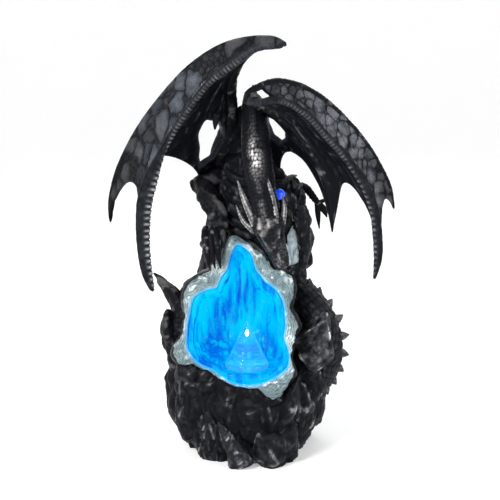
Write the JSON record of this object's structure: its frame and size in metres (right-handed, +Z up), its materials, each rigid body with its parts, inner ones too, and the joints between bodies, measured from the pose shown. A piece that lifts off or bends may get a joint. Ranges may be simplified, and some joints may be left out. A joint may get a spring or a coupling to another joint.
{
  "type": "dragon statue",
  "caption": "Cast dragon figurine with raised wings, curled on a rock plinth over an open lit geode with a clear crystal cone inside.",
  "frame": {"origin": "middle of the rock's flat underside, on the surface it stands on", "axes": "+X to the right as seen from the front, -Y to the front where the geode opens, +Z up"},
  "size_m": [0.1874, 0.1187, 0.2848],
  "materials": {
    "black_resin": "black satin resin, dry-brushed slate blue and silver",
    "agate_rim": "grey-green banded agate with silver glitter",
    "lit_resin": "clear streaked resin, lit blue from inside",
    "clear_resin": "clear polished resin over a lit lamp",
    "pale_crystal": "pale blue-white cloudy crystal",
    "gem_resin": "deep blue polished gem"
  },
  "bodies": {
    "root": {"dragon_on_rock": "black_resin", "geode_rim": "agate_rim", "geode_glow": "lit_resin", "led_cone": "clear_resin", "side_crystal": "pale_crystal", "blue_gem": "gem_resin"}
  },
  "joints": []
}
